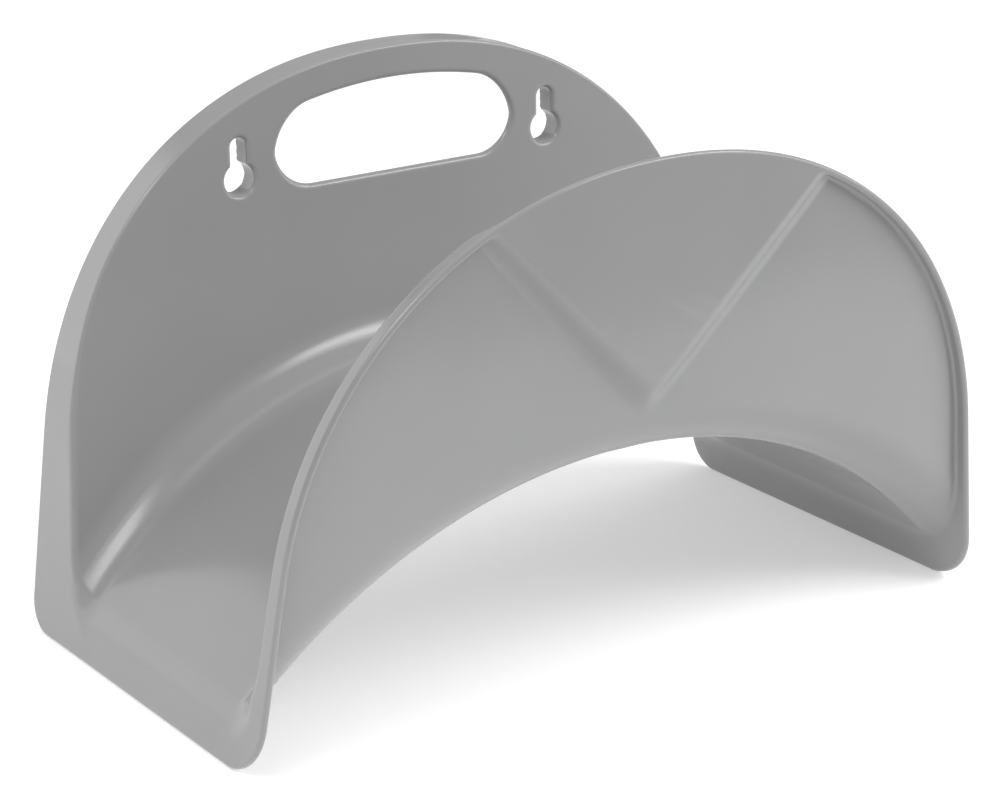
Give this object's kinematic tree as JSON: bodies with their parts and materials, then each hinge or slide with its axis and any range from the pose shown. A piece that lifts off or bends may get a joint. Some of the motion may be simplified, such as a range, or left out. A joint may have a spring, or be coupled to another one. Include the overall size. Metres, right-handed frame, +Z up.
{
  "type": "wall hose hanger",
  "caption": "One-piece moulded plastic wall hanger: an arched saddle between a keyholed back plate and a raised front flange carries a coiled garden hose.",
  "frame": {"origin": "on the wall plane, midway between the screw seats at the tops of the two keyhole slots", "axes": "+X along the hanger's width, +Y into the wall, +Z up; the hose is laid in from -Y's side, over the saddle"},
  "size_m": [0.2818, 0.1694, 0.1823],
  "materials": {
    "grey_plastic": "smooth moulded surface, mid grey, clear soft highlights"
  },
  "bodies": {
    "root": {"back_plate": "grey_plastic", "saddle": "grey_plastic", "front_flange": "grey_plastic"}
  },
  "joints": []
}
